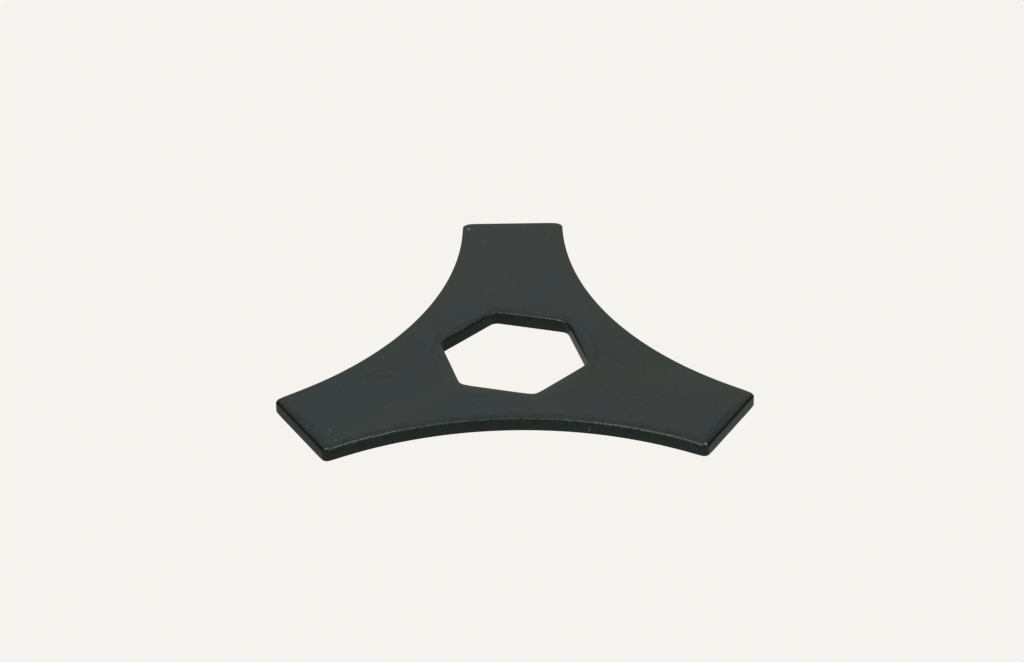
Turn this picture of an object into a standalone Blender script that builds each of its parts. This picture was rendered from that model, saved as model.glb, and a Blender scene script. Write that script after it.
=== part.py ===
"""Lock plate: three arms round a hexagonal hole, blanked from steel sheet.

The plate lies flat. Its frame has the hole's axis on Z and the middle of the sheet at Z = 0,
and one arm points along +Y. All sizes are in metres.
"""

import math

import bmesh
import bpy
from mathutils import Matrix, Vector

# Driving dimensions
SHEET_THICKNESS = 0.0032
ARM_COUNT = 3
ARM_REACH = 0.0558
ARM_END_WIDTH = 0.0239
WEB_RADIUS = 0.0832
TIP_CORNER_RADIUS = 0.00115
HEX_ACROSS_FLATS = 0.0304
HEX_CORNER_RADIUS = 0.0023
HEX_TURN = math.radians(15)

# The punch drags the upper edges over, and more so at the corners of the arms
EDGE_ROLL = 0.00045
CORNER_ROLL = 0.0008
CORNER_ROLL_REACH = 0.004
LOWER_EDGE_BREAK = 0.00015
LOWER_CORNER_BREAK = 0.00035

# How finely the curves are divided
WEB_STEPS = 34
END_STEPS = 12
CORNER_STEPS = 6
HEX_CORNER_STEPS = 4
ROLL_STEPS = 4

# Points closer than this share of the sheet are one point, faces that differ by less than the first angle
# are one face, and edges above the other two make a rim or a visible crease
WELD_SHARE = 0.0003
LEVEL_ANGLE = math.radians(0.05)
RIM_ANGLE = math.radians(45)
SHARP_ANGLE = math.radians(30)

BLACK_COATING = (0.017, 0.020, 0.019, 1.0)
COATING_ROUGHNESS = 0.32

HEX_SIDES = 6
ARM_TURN = 2 * math.pi / ARM_COUNT
FIRST_ARM = math.pi / 2


def clear_scene():
    for obj in list(bpy.data.objects):
        bpy.data.objects.remove(obj)


def new_collection(name):
    collection = bpy.data.collections.new(name)
    bpy.context.scene.collection.children.link(collection)
    return collection


def turned(point, angle):
    return Matrix.Rotation(angle, 2) @ point


def arc(centre, start, end, steps):
    """Points on the shorter arc from start to end, both included."""
    first, last = start - centre, end - centre
    sweep = math.atan2(first.cross(last), first.dot(last))
    return [centre + turned(first, sweep * step / steps) for step in range(steps + 1)]


def web_centre():
    """Centre of the hollow curve between an arm on +Y and the next arm clockwise."""
    bisector = turned(Vector((0, 1)), -ARM_TURN / 2)
    tip_corner = Vector((ARM_END_WIDTH / 2, ARM_REACH))
    along = tip_corner.dot(bisector)
    across = bisector.cross(tip_corner)
    return bisector * (along + math.sqrt(WEB_RADIUS**2 - across**2))


def arm_outline():
    """One arm's share of the outline, counterclockwise for an arm on +Y.

    It holds the web on the arm's right, its first corner, its end face and its second corner.
    """
    centre = web_centre()
    corner_y = ARM_REACH - TIP_CORNER_RADIUS
    rise = corner_y - centre.y
    corner = Vector((centre.x - math.sqrt((WEB_RADIUS + TIP_CORNER_RADIUS) ** 2 - rise**2), corner_y))
    on_web = centre + (corner - centre).normalized() * WEB_RADIUS
    on_end = Vector((corner.x, ARM_REACH))

    bisector_angle = math.atan2(centre.y, centre.x)
    web_start = turned(on_web, -bisector_angle)
    web_start = turned(Vector((web_start.x, -web_start.y)), bisector_angle)
    web = arc(centre, web_start, on_web, WEB_STEPS)
    first_corner = arc(corner, on_web, on_end, CORNER_STEPS)
    far_end = Vector((-on_end.x, on_end.y))
    end_face = [on_end.lerp(far_end, step / END_STEPS) for step in range(END_STEPS + 1)]
    second_corner = [Vector((-point.x, point.y)) for point in reversed(first_corner)]
    return web[:-1] + first_corner[:-1] + end_face + second_corner[1:-1]


def plate_outline():
    share = arm_outline()
    return [turned(point, arm * ARM_TURN) for arm in range(ARM_COUNT) for point in share]


def hex_outline():
    """The hexagonal hole, turned so that flipping the plate over moves the arms by half a flat."""
    centre_distance = (HEX_ACROSS_FLATS / 2 - HEX_CORNER_RADIUS) / math.cos(math.pi / HEX_SIDES)
    first = FIRST_ARM + HEX_TURN
    points = []
    for side in range(HEX_SIDES):
        toward = first + 2 * math.pi * side / HEX_SIDES
        centre = turned(Vector((centre_distance, 0)), toward)
        for step in range(HEX_CORNER_STEPS + 1):
            lean = math.pi / HEX_SIDES * (2 * step / HEX_CORNER_STEPS - 1)
            points.append(centre + turned(Vector((HEX_CORNER_RADIUS, 0)), toward + lean))
    return points


def add_closed_line(curve, points):
    line = curve.splines.new("POLY")
    line.points.add(len(points) - 1)
    for place, point in zip(line.points, points):
        place.co = (point.x, point.y, 0, 1)
    line.use_cyclic_u = True


def mesh_from_curve(obj, name, collection):
    """A new mesh object of the curve's solid, its caps welded on. The curve is removed."""
    graph = bpy.context.evaluated_depsgraph_get()
    mesh = bpy.data.meshes.new_from_object(obj.evaluated_get(graph))
    mesh.name = name
    solid = bpy.data.objects.new(name, mesh)
    solid.matrix_world = obj.matrix_world
    collection.objects.link(solid)
    bpy.data.objects.remove(obj)
    return solid


def blank_from_outlines(name, outlines, thickness, collection):
    """The flat blank that the outlines enclose, with its middle at Z = 0."""
    curve = bpy.data.curves.new(name, "CURVE")
    curve.dimensions = "2D"
    curve.fill_mode = "BOTH"
    curve.extrude = thickness / 2
    for points in outlines:
        add_closed_line(curve, points)
    drawn = bpy.data.objects.new(name + "_outline", curve)
    collection.objects.link(drawn)
    bpy.context.view_layer.update()
    return mesh_from_curve(drawn, name, collection)


def tip_corners():
    corner = Vector((ARM_END_WIDTH / 2, ARM_REACH))
    corners = (corner, Vector((-corner.x, corner.y)))
    return [turned(point, arm * ARM_TURN) for arm in range(ARM_COUNT) for point in corners]


def radius_at(place, corners, at_corner, along_edge):
    """Radius of the rounded rim, which goes from one value at an arm's corner to another along the edges."""
    nearest = min((place.xy - corner).length for corner in corners)
    away = min(nearest / CORNER_ROLL_REACH, 1)
    fade = away * away * (3 - 2 * away)
    return at_corner + (along_edge - at_corner) * fade


def mark_edges(mesh):
    """Joins the caps' triangles into plain faces and gives each rim edge its share of the widest roll."""
    model = bmesh.new()
    model.from_mesh(mesh)
    bmesh.ops.remove_doubles(model, verts=model.verts, dist=WELD_SHARE * SHEET_THICKNESS)
    inner_edges = [edge for edge in model.edges if not edge.is_boundary]
    bmesh.ops.dissolve_limit(model, angle_limit=LEVEL_ANGLE, verts=[], edges=inner_edges)
    bmesh.ops.recalc_face_normals(model, faces=model.faces)
    weight = model.edges.layers.float.new("bevel_weight_edge")
    corners = tip_corners()
    for edge in model.edges:
        low, high = (vert.co.z for vert in edge.verts)
        if abs(low - high) > SHEET_THICKNESS / 2 or edge.calc_face_angle(0) < RIM_ANGLE:
            continue
        middle = (edge.verts[0].co + edge.verts[1].co) / 2
        rounding = (CORNER_ROLL, EDGE_ROLL) if middle.z > 0 else (LOWER_CORNER_BREAK, LOWER_EDGE_BREAK)
        edge[weight] = radius_at(middle, corners, *rounding) / CORNER_ROLL
    model.to_mesh(mesh)
    model.free()


def roll_edges(plate):
    bevel = plate.modifiers.new("rolled_edges", "BEVEL")
    bevel.limit_method = "WEIGHT"
    bevel.offset_type = "OFFSET"
    bevel.width = CORNER_ROLL
    bevel.segments = ROLL_STEPS
    bevel.use_clamp_overlap = False
    bevel.loop_slide = False


def coated_steel():
    material = bpy.data.materials.new("black_coated_steel")
    material.use_nodes = True
    shader = material.node_tree.nodes["Principled BSDF"]
    shader.inputs["Base Color"].default_value = BLACK_COATING
    shader.inputs["Metallic"].default_value = 0.0
    shader.inputs["Roughness"].default_value = COATING_ROUGHNESS
    return material


def build():
    clear_scene()
    parts = new_collection("lock_plate_parts")
    plate = blank_from_outlines("lock_plate", [plate_outline(), hex_outline()], SHEET_THICKNESS, parts)
    mark_edges(plate.data)
    roll_edges(plate)
    plate.data.materials.clear()
    plate.data.materials.append(coated_steel())
    plate.data.shade_smooth()
    plate.data.set_sharp_from_angle(angle=SHARP_ANGLE)


build()
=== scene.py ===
# %% [markdown]
# # A lock plate, blanked from steel sheet
# The plate is one piece of 3.2 mm steel sheet: three arms round a hexagonal hole, with hollow sides
# between the arms. A press cuts it out in one stroke, and a thin black coating follows. What the
# eye reads is therefore small: edges that the punch has dragged over, a faint dish inside
# them, a round print about the hole, and a satin black film that mirrors the room softly.
# The measured solid is loaded first, because every later step has to fit it.

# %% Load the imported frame
import math

import bpy
from mathutils import Matrix, Vector


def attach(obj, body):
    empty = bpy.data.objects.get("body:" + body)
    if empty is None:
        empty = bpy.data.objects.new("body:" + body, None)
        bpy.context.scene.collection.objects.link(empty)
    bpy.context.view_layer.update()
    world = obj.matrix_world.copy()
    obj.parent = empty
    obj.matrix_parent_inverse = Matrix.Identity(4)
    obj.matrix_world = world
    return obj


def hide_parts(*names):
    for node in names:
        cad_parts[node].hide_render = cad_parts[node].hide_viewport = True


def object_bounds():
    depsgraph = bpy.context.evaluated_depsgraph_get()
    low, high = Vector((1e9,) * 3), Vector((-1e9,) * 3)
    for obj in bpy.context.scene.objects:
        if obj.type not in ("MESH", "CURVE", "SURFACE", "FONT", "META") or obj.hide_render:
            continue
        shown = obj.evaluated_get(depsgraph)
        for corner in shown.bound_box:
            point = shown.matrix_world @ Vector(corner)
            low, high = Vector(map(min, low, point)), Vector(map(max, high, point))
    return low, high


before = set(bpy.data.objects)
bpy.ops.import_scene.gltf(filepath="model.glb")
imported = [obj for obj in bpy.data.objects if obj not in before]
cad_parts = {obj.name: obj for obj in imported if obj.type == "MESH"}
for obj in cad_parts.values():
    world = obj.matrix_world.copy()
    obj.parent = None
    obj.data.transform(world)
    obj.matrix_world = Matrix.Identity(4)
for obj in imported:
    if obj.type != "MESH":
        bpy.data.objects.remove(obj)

cad_low, cad_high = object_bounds()
MM = 0.001
print("solid size in mm:", [round(side / MM, 2) for side in cad_high - cad_low])


# %% [markdown]
# ## Three small helpers
# Colours are picked as sRGB hex values, as a paint chart gives them, but Blender mixes light in
# linear numbers, so one function converts. One more function adds a node to any tree, for shapes and
# for materials alike: inputs given as a tuple fill the node's live sockets in order, and a
# dictionary names them. The last one makes the named inputs of a shape tree.

# %% Helpers for colours and node trees
def linear(hex_colour):
    """The four linear numbers of an sRGB hex colour."""
    parts = [int(hex_colour[place : place + 2], 16) / 255 for place in (1, 3, 5)]
    parts = [part / 12.92 if part <= 0.04045 else ((part + 0.055) / 1.055) ** 2.4 for part in parts]
    return (*parts, 1.0)


def add(tree, kind, inputs=(), **settings):
    """Adds a node. A node or socket given as an input is linked, and any other value is set."""
    made = tree.nodes.new(kind)
    for name, value in settings.items():
        setattr(made, name, value)
    live = [socket for socket in made.inputs if socket.enabled]
    pairs = inputs.items() if isinstance(inputs, dict) else enumerate(inputs)
    for place, value in pairs:
        socket = live[place] if isinstance(place, int) else next(one for one in live if one.name == place)
        if isinstance(value, bpy.types.Node):
            value = next(one for one in value.outputs if one.enabled)
        if isinstance(value, bpy.types.NodeSocket):
            tree.links.new(value, socket)
        else:
            socket.default_value = value
    return made


def shape_tree(name, sizes):
    """A geometry tree with one float input for each size, and its group input node."""
    tree = bpy.data.node_groups.new(name, "GeometryNodeTree")
    tree.interface.new_socket("Geometry", in_out="OUTPUT", socket_type="NodeSocketGeometry")
    for label in sizes:
        tree.interface.new_socket(label, in_out="INPUT", socket_type="NodeSocketFloat")
    return tree, add(tree, "NodeGroupInput")


MATH, VECTOR, TURNED = "ShaderNodeMath", "ShaderNodeVectorMath", "ShaderNodeVectorRotate"
RANGE, MIX, SWITCH = "ShaderNodeMapRange", "ShaderNodeMix", "GeometryNodeSwitch"
JOIN, SPLIT, NOISE = "ShaderNodeCombineXYZ", "ShaderNodeSeparateXYZ", "ShaderNodeTexNoise"
print("a mid grey in linear numbers:", [round(part, 3) for part in linear("#808080")])


# %% [markdown]
# ## The camera
# The photograph was taken from well above the front edge with a long lens, so the plate shows
# almost no perspective: its far arm is hardly smaller than its near ones. The camera is given the way
# a photographer would set it up: how far it stands, how high it looks down from, how much it
# tips to one side, and the point it is aimed at.

# %% Place the camera
CAMERA_DISTANCE = 933.85 * MM
CAMERA_ELEVATION = math.radians(33.61)
CAMERA_TURN = math.radians(0.04)
CAMERA_TIP = math.radians(-0.80)
CAMERA_AIM = Vector((-0.46, 2.70, 5.66)) * MM
LENS_MM, SENSOR_MM = 143.4, 36.0


def photographer(distance, elevation, turn, tip, aim):
    camera = bpy.data.objects.new("camera", bpy.data.cameras.new("camera"))
    bpy.context.scene.collection.objects.link(camera)
    camera.data.lens, camera.data.sensor_width = LENS_MM, SENSOR_MM
    camera.data.clip_start, camera.data.clip_end = 0.05, 20.0
    facing = Matrix.Rotation(turn, 4, "Z") @ Matrix.Rotation(math.pi / 2 - elevation, 4, "X")
    facing = facing @ Matrix.Rotation(tip, 4, "Z")
    camera.matrix_world = Matrix.Translation(aim + facing.col[2].to_3d() * distance) @ facing
    bpy.context.scene.camera = camera
    return camera


camera = photographer(CAMERA_DISTANCE, CAMERA_ELEVATION, CAMERA_TURN, CAMERA_TIP, CAMERA_AIM)
print("camera at, in mm:", [round(place / MM, 1) for place in camera.matrix_world.translation])


# %% [markdown]
# ## The plate: how its skin is laid out
# A plate with one hole has the form of a ring, and so it can be skinned with one long grid: columns
# run round the plate, and rings run across it, from the hexagon over the top face to the outer edge
# and back along the underside. The grid's ends are then welded together. Bevels could round the
# edges as well, but a press leaves more than a round: the edge is dragged over tightly, and the
# face behind it sinks by a tenth to a third of a millimetre over a few millimetres. In a grid whose
# rings follow the edge, that height is one formula of the distance to the edge.
#
# One sixth of the outline is enough, from the middle of a hollow side to the middle of an end
# face. A ping-pong of the column number runs through that sixth there and back, and three turns of
# 120 degrees complete the plate.

# %% Sizes of the plate
REACH = cad_high.y
HALF_THICKNESS = cad_high.z
END_WIDTH = 23.9 * MM
WEB_RADIUS = 83.2 * MM
TIP_CORNER_RADIUS = 1.15 * MM
HEX_ACROSS_FLATS = 30.4 * MM
HEX_CORNER_RADIUS = 2.3 * MM
ARMS, HEX_SIDES = 3, 6
HEX_TURN = math.radians(15)
print("reach %.1f mm, sheet %.1f mm" % (REACH / MM, 2 * HALF_THICKNESS / MM))


def web_centre():
    """Centre of the hollow side on the right of the arm that points along +Y."""
    bisector = Vector((math.cos(math.pi / 6), math.sin(math.pi / 6)))
    tip = Vector((END_WIDTH / 2, REACH))
    along, across = tip.dot(bisector), bisector.x * tip.y - bisector.y * tip.x
    return bisector * (along + math.sqrt(WEB_RADIUS**2 - across**2))


WEB_CENTRE = web_centre()
print("centre of a hollow side, in mm:", [round(place / MM, 2) for place in WEB_CENTRE])

# %% Numbers of columns and rings
WEB_COLUMNS, CORNER_COLUMNS, END_COLUMNS = 78, 12, 20
SIXTH = WEB_COLUMNS + CORNER_COLUMNS + END_COLUMNS
COLUMNS = 2 * ARMS * SIXTH
TOP_RINGS = 46
ROWS = 2 * (TOP_RINGS + 1)
HEX_BAND_END, PRINT_END, EDGE_BAND_START = 0.35, 0.54, 0.62
print("grid of", COLUMNS, "columns and", ROWS, "rings, so", 2 * COLUMNS * ROWS, "triangles")

# %% [markdown]
# The named inputs of the tree are the sizes that a designer would change. They are split in two
# groups: those of the outline, and those of the edges, which say how far the punch dragged the
# metal.

# %% Named inputs of the shape tree
plate_sizes = {
    "Reach": REACH,
    "Half Width": END_WIDTH / 2,
    "Web Radius": WEB_RADIUS,
    "Web Centre X": WEB_CENTRE.x,
    "Web Centre Y": WEB_CENTRE.y,
    "Corner Radius": TIP_CORNER_RADIUS,
    "Half Flats": HEX_ACROSS_FLATS / 2,
    "Hex Corner Radius": HEX_CORNER_RADIUS,
    "Half Thickness": HALF_THICKNESS,
    "Roll Depth": 0.20 * MM,
    "Roll Width": 0.30 * MM,
    "Dragged Roll Depth": 0.22 * MM,
    "Dragged Roll Width": 0.8 * MM,
    "Corner Roll": 0.7 * MM,
    "Side Corner Roll": 0.65 * MM,
    "Edge Break": 0.15 * MM,
    "Corner Break": 0.35 * MM,
    "Corner Reach": 3.2 * MM,
    "Sink": 0.09 * MM,
    "Dragged Sink": 0.30 * MM,
    "End Sink": 0.32 * MM,
    "Sink Width": 2.2 * MM,
    "Dragged Sink Width": 3.2 * MM,
    "End Sink Width": 4.4 * MM,
    "Hex Sink Width": 3.2 * MM,
    "Edge Band": 4.4 * MM,
    "Print Inner": 18.0 * MM,
    "Print Outer": 19.9 * MM,
    "Print Depth": 0.012 * MM,
}
tree, size = shape_tree("blanked_plate", plate_sizes)
given = size.outputs

# %% [markdown]
# First the grid, and the three numbers that every later formula reads: the column within its sixth
# of the plate, the ring's share of the way from the hexagon to the outer edge, and on which
# side of the sheet the ring lies.

# %% Grid, columns and rings
grid = add(tree, "GeometryNodeMeshGrid", (COLUMNS, ROWS, COLUMNS + 1, ROWS + 1))
place = add(tree, SPLIT, (add(tree, "GeometryNodeInputPosition"),))
column = add(tree, MATH, (place.outputs["X"], COLUMNS / 2), operation="ADD")
row = add(tree, MATH, (place.outputs["Y"], ROWS / 2), operation="ADD")
sixth = add(tree, MATH, (column, SIXTH), operation="PINGPONG")

wrapped = add(tree, MATH, (row, ROWS), operation="MODULO")
on_top = add(tree, MATH, (wrapped, TOP_RINGS + 0.5), operation="LESS_THAN")
from_hexagon = add(tree, MATH, (wrapped, 0.5), operation="ADD")
from_hexagon = add(tree, MATH, (from_hexagon, TOP_RINGS + 1), operation="PINGPONG")
share = add(tree, RANGE, (from_hexagon, 0.5, TOP_RINGS + 0.5, 0, 1))
print("one sixth of the plate has", SIXTH, "columns, and the top", TOP_RINGS + 1, "rings")

# %% [markdown]
# The outline of one sixth has three stretches: an arc of the hollow side, a small corner, and half
# an end face. All three are written for any inset from the edge, so that one formula draws the
# outline and every ring inside it. An arc is a point turned about the arc's centre, which the
# Vector Rotate node does in one step. The corner grows with the inset, as the dragged metal does.

# %% Outline of one sixth, at any inset
BAND_CROWDING = 2.5
CORNER_GROWTH = 0.7
inset = add(tree, RANGE, (share, EDGE_BAND_START, 1, 1, 0))
inset = add(tree, MATH, (inset, BAND_CROWDING), operation="POWER")
inset = add(tree, MATH, (inset, given["Edge Band"]), operation="MULTIPLY")

corner_radius = add(tree, MATH, (inset, CORNER_GROWTH, given["Corner Radius"]), operation="MULTIPLY_ADD")
web_radius = add(tree, MATH, (inset, given["Web Radius"]), operation="ADD")
end_y = add(tree, MATH, (given["Reach"], inset), operation="SUBTRACT")
corner_y = add(tree, MATH, (end_y, corner_radius), operation="SUBTRACT")
between_centres = add(tree, MATH, (web_radius, corner_radius), operation="ADD")
lean = add(tree, MATH, (given["Web Centre Y"], corner_y), operation="SUBTRACT")
lean = add(tree, MATH, (lean, between_centres), operation="DIVIDE")
lean = add(tree, MATH, (lean,), operation="ARCSINE")
sideways = add(tree, MATH, (lean,), operation="COSINE")
sideways = add(tree, MATH, (sideways, between_centres), operation="MULTIPLY")
corner_x = add(tree, MATH, (given["Web Centre X"], sideways), operation="SUBTRACT")

web_start = add(tree, MATH, (given["Web Centre X"], web_radius), operation="SUBTRACT")
web_turn = add(tree, RANGE, (sixth, 0, WEB_COLUMNS, math.pi / 6, lean))
web_point = add(
    tree,
    TURNED,
    {
        "Vector": add(tree, JOIN, (web_start, given["Web Centre Y"])),
        "Center": add(tree, JOIN, (given["Web Centre X"], given["Web Centre Y"])),
        "Angle": web_turn,
    },
    rotation_type="Z_AXIS",
)
corner_start = add(tree, MATH, (corner_x, corner_radius), operation="ADD")
corner_turn = add(tree, RANGE, (sixth, WEB_COLUMNS, WEB_COLUMNS + CORNER_COLUMNS, lean, math.pi / 2))
corner_point = add(
    tree,
    TURNED,
    {
        "Vector": add(tree, JOIN, (corner_start, corner_y)),
        "Center": add(tree, JOIN, (corner_x, corner_y)),
        "Angle": corner_turn,
    },
    rotation_type="Z_AXIS",
)
end_x = add(tree, RANGE, (sixth, WEB_COLUMNS + CORNER_COLUMNS, SIXTH, corner_x, 0))
end_point = add(tree, JOIN, (end_x, end_y))

on_corner = add(tree, MATH, (sixth, WEB_COLUMNS), operation="GREATER_THAN")
on_end = add(tree, MATH, (sixth, WEB_COLUMNS + CORNER_COLUMNS), operation="GREATER_THAN")
near_edge = add(tree, SWITCH, (on_corner, web_point, corner_point), input_type="VECTOR")
near_edge = add(tree, SWITCH, (on_end, near_edge, end_point), input_type="VECTOR")
print("columns on side, corner and end:", WEB_COLUMNS, CORNER_COLUMNS, END_COLUMNS)

# %% The other five sixths
arm = add(tree, MATH, (column, 2 * SIXTH), operation="DIVIDE")
arm = add(tree, MATH, (arm,), operation="FLOOR")
arm_angle = add(tree, MATH, (arm, 2 * math.pi / ARMS), operation="MULTIPLY")
within_arm = add(tree, MATH, (column, 2 * SIXTH), operation="MODULO")
mirrored = add(tree, MATH, (within_arm, SIXTH), operation="GREATER_THAN")
facing = add(tree, RANGE, (mirrored, 0, 1, 1, -1))
edge_place = add(tree, VECTOR, (near_edge, add(tree, JOIN, (facing, 1, 1))), operation="MULTIPLY")
edge_place = add(tree, TURNED, {"Vector": edge_place, "Angle": arm_angle}, rotation_type="Z_AXIS")
print("the sixth is used", 2 * ARMS, "times")

# %% [markdown]
# The hexagon is turned 15 degrees from the arms, so that the plate turned over moves the arms by
# half a flat. Around it the rings are drawn by direction: how far the hexagon's edge lies from the
# axis in each direction, on a flat or on a rounded corner. The columns are crowded a little
# towards the middle of the hollow sides, where the plate is narrow and its outer edge is close.

# %% Hexagon and the round print about it
COLUMN_CROWDING = 0.17
turn = add(tree, MATH, (column, 2 * math.pi / COLUMNS), operation="MULTIPLY")
crowded = add(tree, MATH, (turn, ARMS), operation="MULTIPLY")
crowded = add(tree, MATH, (crowded,), operation="SINE")
crowded = add(tree, MATH, (crowded, COLUMN_CROWDING, turn), operation="MULTIPLY_ADD")
direction = add(tree, MATH, (crowded, math.pi / 6), operation="ADD")

half_side = math.pi / HEX_SIDES
off_flat = add(tree, MATH, (direction, HEX_TURN), operation="SUBTRACT")
off_flat = add(tree, MATH, (off_flat, half_side), operation="PINGPONG")
flatness = add(tree, MATH, (off_flat,), operation="COSINE")
flat_reach = add(tree, MATH, (given["Half Flats"], flatness), operation="DIVIDE")

bend = add(tree, MATH, (given["Half Flats"], given["Hex Corner Radius"]), operation="SUBTRACT")
bend = add(tree, MATH, (bend, math.cos(half_side)), operation="DIVIDE")
bend_start = add(tree, MATH, (bend, math.sin(half_side)), operation="MULTIPLY")
bend_start = add(tree, MATH, (bend_start, given["Half Flats"]), operation="ARCTAN2")
off_corner = add(tree, MATH, (half_side, off_flat), operation="SUBTRACT")
corner_along = add(tree, MATH, (off_corner,), operation="COSINE")
corner_along = add(tree, MATH, (bend, corner_along), operation="MULTIPLY")
corner_across = add(tree, MATH, (off_corner,), operation="SINE")
corner_across = add(tree, MATH, (bend, corner_across), operation="MULTIPLY")
across_squared = add(tree, MATH, (corner_across, 2), operation="POWER")
bulge = add(tree, MATH, (given["Hex Corner Radius"], 2), operation="POWER")
bulge = add(tree, MATH, (bulge, across_squared), operation="SUBTRACT")
bulge = add(tree, MATH, (bulge,), operation="SQRT")
corner_reach = add(tree, MATH, (corner_along, bulge), operation="ADD")
in_corner = add(tree, MATH, (off_flat, bend_start), operation="GREATER_THAN")
hex_reach = add(tree, SWITCH, (in_corner, flat_reach, corner_reach), input_type="FLOAT")

print_room = add(tree, MATH, (given["Print Inner"], hex_reach), operation="SUBTRACT")
print_width = add(tree, MATH, (given["Print Outer"], given["Print Inner"]), operation="SUBTRACT")
hex_way = add(tree, RANGE, (share, 0, HEX_BAND_END, 0, 1))
hex_way = add(tree, MATH, (hex_way, BAND_CROWDING), operation="POWER")
print_way = add(tree, RANGE, (share, HEX_BAND_END, PRINT_END, 0, print_width))
from_edge = add(tree, MATH, (hex_way, print_room, print_way), operation="MULTIPLY_ADD")
inner_reach = add(tree, MATH, (hex_reach, from_edge), operation="ADD")
inner_place = add(
    tree,
    TURNED,
    {"Vector": add(tree, JOIN, (inner_reach,)), "Angle": direction},
    rotation_type="Z_AXIS",
)
outward = add(tree, RANGE, (share, PRINT_END, EDGE_BAND_START, 0, 1))
flat_place = add(tree, MIX, (outward, inner_place, edge_place), data_type="VECTOR")
print("plan view takes", len(tree.nodes), "nodes")

# %% [markdown]
# Now the height. A punched edge has two forms in it: a tight round of less than a millimetre, and
# behind it a shallow sink. Both are written as a drop below the face, from the distance to the
# edge. The underside has only a small break, where the coating rounds the burr.
#
# How much the punch drags depends on the place, so masks come first. The punch didn't sit quite
# square: edges that face the front are dragged over more than twice as wide as those that face the
# back. The corners of the arms are dragged over more than the straight edges, and the hexagon's
# corners less, because the metal about a hole's corner holds itself up.

# %% Where the punch dragged the metal
AT_END_COLUMNS = 12
OUTER_DRAG_START, OUTER_DRAG_END = -13 * MM, -24 * MM
HEX_DRAG_START, HEX_DRAG_END = -4 * MM, 7 * MM
FAR_CORNER_START, FAR_CORNER_END = 10 * MM, 40 * MM
FRONT_CORNER_START, FRONT_CORNER_END = -20 * MM, -32 * MM
HEX_FADE_START, HEX_FADE_END, HEX_CORNER_SHARE = math.radians(22), math.radians(26.5), 0.35

tip = add(tree, JOIN, (given["Half Width"], given["Reach"]))
tip_gap = add(tree, VECTOR, (near_edge, tip), operation="DISTANCE").outputs["Value"]
at_tip = add(tree, RANGE, (tip_gap, 0, given["Corner Reach"], 1, 0), interpolation_type="SMOOTHSTEP")
at_end = add(
    tree,
    RANGE,
    (sixth, WEB_COLUMNS - AT_END_COLUMNS, WEB_COLUMNS + CORNER_COLUMNS, 0, 1),
    interpolation_type="SMOOTHSTEP",
)
outer_y = add(tree, SPLIT, (edge_place,)).outputs["Y"]
inner_y = add(tree, SPLIT, (inner_place,)).outputs["Y"]
outer_drag = add(
    tree, RANGE, (outer_y, OUTER_DRAG_START, OUTER_DRAG_END, 0, 1), interpolation_type="SMOOTHSTEP"
)
hex_drag = add(
    tree, RANGE, (inner_y, HEX_DRAG_START, HEX_DRAG_END, 0, 1), interpolation_type="SMOOTHSTEP"
)
hex_fade = add(tree, RANGE, (off_flat, HEX_FADE_START, HEX_FADE_END, 1, HEX_CORNER_SHARE))
print("outer edges are dragged from y = %.0f mm forwards" % (OUTER_DRAG_START / MM))

# %% Rolled rims
edge_break = add(tree, MIX, (at_tip, given["Edge Break"], given["Corner Break"]), data_type="FLOAT")
far_corner = add(tree, RANGE, (outer_y, FAR_CORNER_START, FAR_CORNER_END, 0, 1))
front_corner = add(tree, RANGE, (outer_y, FRONT_CORNER_START, FRONT_CORNER_END, 0, 1))
corner_roll = add(tree, MATH, (far_corner, front_corner), operation="MAXIMUM")
corner_roll = add(
    tree, MIX, (corner_roll, given["Side Corner Roll"], given["Corner Roll"]), data_type="FLOAT"
)
rolls = {}
for measure in ("Depth", "Width"):
    plain, dragged = given["Roll " + measure], given["Dragged Roll " + measure]
    outer_roll = add(tree, MIX, (outer_drag, plain, dragged), data_type="FLOAT")
    outer_roll = add(tree, MIX, (at_tip, outer_roll, corner_roll), data_type="FLOAT")
    outer_roll = add(tree, SWITCH, (on_top, edge_break, outer_roll), input_type="FLOAT")
    hex_roll = add(tree, MIX, (hex_drag, plain, dragged), data_type="FLOAT")
    hex_roll = add(tree, MATH, (hex_roll, hex_fade), operation="MULTIPLY")
    hex_roll = add(tree, SWITCH, (on_top, given["Edge Break"], hex_roll), input_type="FLOAT")
    rolls[measure] = outer_roll, hex_roll
print("rims have a depth and a width on", len(rolls["Depth"]), "edges")

# %% Sinks behind the rims
outer_sink_width = add(
    tree, MIX, (at_end, given["Dragged Sink Width"], given["End Sink Width"]), data_type="FLOAT"
)
outer_sink_width = add(
    tree, MIX, (outer_drag, given["Sink Width"], outer_sink_width), data_type="FLOAT"
)
outer_sink = add(tree, MIX, (at_end, given["Dragged Sink"], given["End Sink"]), data_type="FLOAT")
outer_sink = add(tree, MIX, (outer_drag, given["Sink"], outer_sink), data_type="FLOAT")
outer_sink = add(tree, MATH, (outer_sink, on_top), operation="MULTIPLY")
hex_sink = add(tree, MIX, (hex_drag, given["Sink"], given["Dragged Sink"]), data_type="FLOAT")
hex_sink = add(tree, MATH, (hex_sink, on_top), operation="MULTIPLY")
hex_sink_width = add(
    tree, MIX, (hex_drag, given["Sink Width"], given["Hex Sink Width"]), data_type="FLOAT"
)
hex_gap = add(tree, MATH, (from_edge, flatness), operation="MULTIPLY")
print("deepest sink %.2f mm" % (plate_sizes["End Sink"] / MM))

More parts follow.
